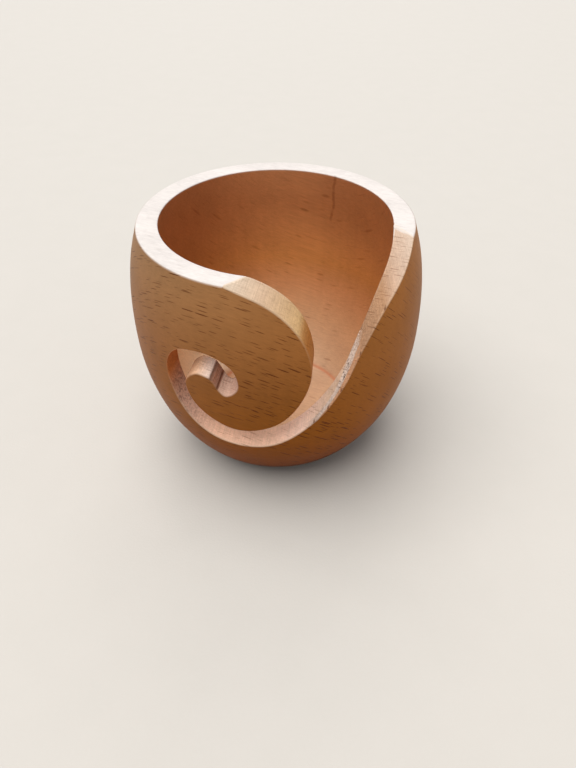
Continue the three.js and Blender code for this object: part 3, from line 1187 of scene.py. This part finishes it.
def mineral_streak(n, inner):
    """The thin dark wavy line down the back of the inner wall."""
    position = n.new("ShaderNodeSeparateXYZ")
    n.set(position.inputs[0], n.position())
    x, y, z = position.outputs
    wave = n.noise(n.combine(0.0, 0.0, n.product(z, STREAK_WAVES)))
    off_line = n.math("ABSOLUTE", n.math("SUBTRACT", x, n.swing(STREAK_X, wave, STREAK_WAVE)))
    line = n.ramp(off_line, STREAK_WIDTH, STREAK_WIDTH * 0.2)
    down = n.ramp(z, STREAK_END, STREAK_END + STREAK_END_FADE)
    at_back = n.math("GREATER_THAN", y, 0.0)
    patches = n.noise(n.combine(0.0, 3.0, n.product(z, STREAK_PATCHES)), 1.0)
    return n.product(line, down, at_back, inner, n.ramp(patches, 0.30, 0.55, 0.35, 1.0))


def beech_relief(n, masks, fibre, fleck, saw, crumbs, rough, groove):
    relief = n.math("MULTIPLY_ADD", fleck, FLECK_RELIEF, n.product(fibre, FIBRE_RELIEF))
    relief = n.math("ADD", relief, n.product(saw, masks["cut"], SAW_RELIEF))
    relief = n.math("ADD", relief, n.product(crumbs, rough, CRUMB_RELIEF))
    return n.bump(n.math("MULTIPLY_ADD", groove, GROOVE_RELIEF, relief), RELIEF_HEIGHT)


def beech_material(slot):
    material = bpy.data.materials.new("beech")
    material.use_nodes = True
    n = Nodes(material)
    bsdf = material.node_tree.nodes["Principled BSDF"]
    masks = {name: n.attribute(name) for name in MeshParts.MASKS}
    skin = n.math("SUBTRACT", 1.0, masks["cut"], clamp=True)
    fibre = n.noise(wood_space(n, FIBRE_SIZE), 3.0, 0.6)
    fine = n.noise(wood_space(n, FINE_SIZE), 2.0, 0.6)
    crumbs = n.noise(n.repeats(CRUMBS), 3.0, 0.7)
    fleck, fleck_strength = all_flecks(n, masks)
    saw, saw_shade = saw_marks(n, masks)
    groove = grooves_and_chips(n, masks, slot)

    tone = n.attribute("tone", "Color")
    # painted highlight on the slot's rounded edges
    colour = n.mix(n.product(masks["edge"], EDGE_STRENGTH), tone, (*EDGE_HIGHLIGHT_TONE, 1))
    colour, rough = torn_wood(n, masks, crumbs, colour)
    shade = n.product(
        wood_shade(n, masks, skin, fibre, fine),
        n.math("ADD", n.product(saw_shade, masks["cut"]), skin),
        n.math("ADD", n.product(rough, n.swing(0.0, crumbs, CRUMB_CONTRAST)), 1.0),
    )
    colour = n.mix(1.0, colour, n.combine(shade, shade, shade), "MULTIPLY")
    streak = n.product(mineral_streak(n, masks["inner"]), STREAK_STRENGTH)
    # painted shade in the grooves and chips, and the streak's own dark colour
    lines = n.largest(n.product(groove, GROOVE_STRENGTH), streak)
    darkness = n.math("MAXIMUM", fleck_strength, lines, clamp=True)
    dark = n.mix(1.0, colour, (*DARK_MARK_AND_GROOVE_SHADE, 1), "MULTIPLY")
    n.set(bsdf.inputs["Base Color"], n.mix(darkness, colour, dark))

    roughness = n.math("MULTIPLY_ADD", masks["cut"], CUT_ROUGHNESS - SKIN_ROUGHNESS, SKIN_ROUGHNESS)
    roughness = n.swing(roughness, fine, ROUGHNESS_CONTRAST)
    roughness = n.math("MULTIPLY_ADD", rough, TORN_ROUGHNESS, roughness, clamp=True)
    n.set(bsdf.inputs["Roughness"], roughness)
    bsdf.inputs["Specular IOR Level"].default_value = SPECULAR_LEVEL
    bsdf.inputs["Specular Tint"].default_value = SPECULAR_TINT
    n.set(bsdf.inputs["Normal"], beech_relief(n, masks, fibre, fleck, saw, crumbs, rough, groove))
    return material


# ---- floor, light and camera
FLOOR_SIZE = 60.0
PAPER_DARK = (0.440, 0.411, 0.371, 1)
PAPER_LIGHT = (0.460, 0.429, 0.389, 1)
PAPER_ROUGHNESS = 0.8
# Patterns of the floor, in repeats a metre, and the height of its tooth in metres
PAPER_MOTTLE = 45.0
PAPER_TOOTH = 900.0
PAPER_RELIEF = 0.00005
# The sky's colour overhead and at the horizon, and the height at which the first is reached
SKY_COLOUR = (0.522, 0.533, 0.55, 1)
HORIZON_COLOUR = (0.80, 0.77, 0.73, 1)
SKY_FROM = 0.35
# Soft lights: the direction each one shines in, its angle across in degrees, and its strength
LIGHTS = {
    "overhead": ((0.35, 0.10, -1.25), 62.0, 3.6),
    "behind": ((0.0, -1.3, -1.15), 40.0, 0.9),
}
# The camera's place in metres, how far it is turned up from straight down in degrees, and its lens and
# sensor in millimetres
CAMERA_PLACE = (0.0049, -0.22245, 0.21712)
CAMERA_PITCH = 48.27
CAMERA_LENS = 27.56
CAMERA_SENSOR = 36.0
CAMERA_CLIP = 0.01


def floor_material():
    """Pale matt paper with a faint mottle."""
    material = bpy.data.materials.new("paper")
    material.use_nodes = True
    n = Nodes(material)
    bsdf = material.node_tree.nodes["Principled BSDF"]
    mottle = n.noise(n.position(), 4.0, 0.6, PAPER_MOTTLE)
    n.set(bsdf.inputs["Base Color"], n.mix(mottle, PAPER_DARK, PAPER_LIGHT))
    bsdf.inputs["Roughness"].default_value = PAPER_ROUGHNESS
    n.set(bsdf.inputs["Normal"], n.bump(n.noise(n.position(), scale=PAPER_TOOTH), PAPER_RELIEF))
    return material


def add_floor():
    bpy.ops.mesh.primitive_plane_add(size=FLOOR_SIZE, location=(0, 0, 0))
    floor = bpy.context.object
    floor.name = "floor"
    floor.data.materials.append(floor_material())


def add_sky():
    world = bpy.data.worlds.new("studio")
    bpy.context.scene.world = world
    world.use_nodes = True
    nodes, links = world.node_tree.nodes, world.node_tree.links
    direction = nodes.new("ShaderNodeTexCoord")
    height = nodes.new("ShaderNodeSeparateXYZ")
    sky = nodes.new("ShaderNodeValToRGB")
    links.new(direction.outputs["Generated"], height.inputs[0])
    links.new(height.outputs["Z"], sky.inputs[0])
    links.new(sky.outputs[0], nodes["Background"].inputs["Color"])
    sky.color_ramp.interpolation = "EASE"
    low, high = sky.color_ramp.elements
    low.position, low.color = 0.0, HORIZON_COLOUR
    high.position, high.color = SKY_FROM, SKY_COLOUR


def add_lights():
    bpy.context.scene.view_settings.view_transform = "Standard"
    for name, (towards, spread, strength) in LIGHTS.items():
        light = bpy.data.lights.new(name, "SUN")
        light.energy = strength
        light.angle = math.radians(spread)
        lamp = bpy.data.objects.new(name, light)
        lamp.rotation_euler = Vector(towards).to_track_quat("-Z", "Y").to_euler()
        bpy.context.scene.collection.objects.link(lamp)


def add_camera():
    data = bpy.data.cameras.new("camera")
    data.sensor_width = CAMERA_SENSOR
    data.lens = CAMERA_LENS
    data.clip_start = CAMERA_CLIP
    camera = bpy.data.objects.new("camera", data)
    camera.location = CAMERA_PLACE
    camera.rotation_euler = (math.radians(CAMERA_PITCH), 0.0, 0.0)
    bpy.context.scene.collection.objects.link(camera)
    bpy.context.scene.camera = camera


# ---- scene
def add_bowl():
    """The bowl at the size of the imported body, in its place."""
    body_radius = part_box("yarn_bowl_body")[1].x / MM
    widest = catmull_rom(OUTER_WALL, OUTER_SAMPLES)[:, 0].max()
    profile = Profile(body_radius / widest)
    slot = Slot(profile)
    bowl = to_object(build_bowl(profile, slot), "beech_bowl")
    bowl.data.materials.append(beech_material(slot))
    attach(bowl, "root")
    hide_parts("yarn_bowl_body")


def main():
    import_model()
    add_bowl()
    add_floor()
    add_camera()
    add_sky()
    add_lights()


main()
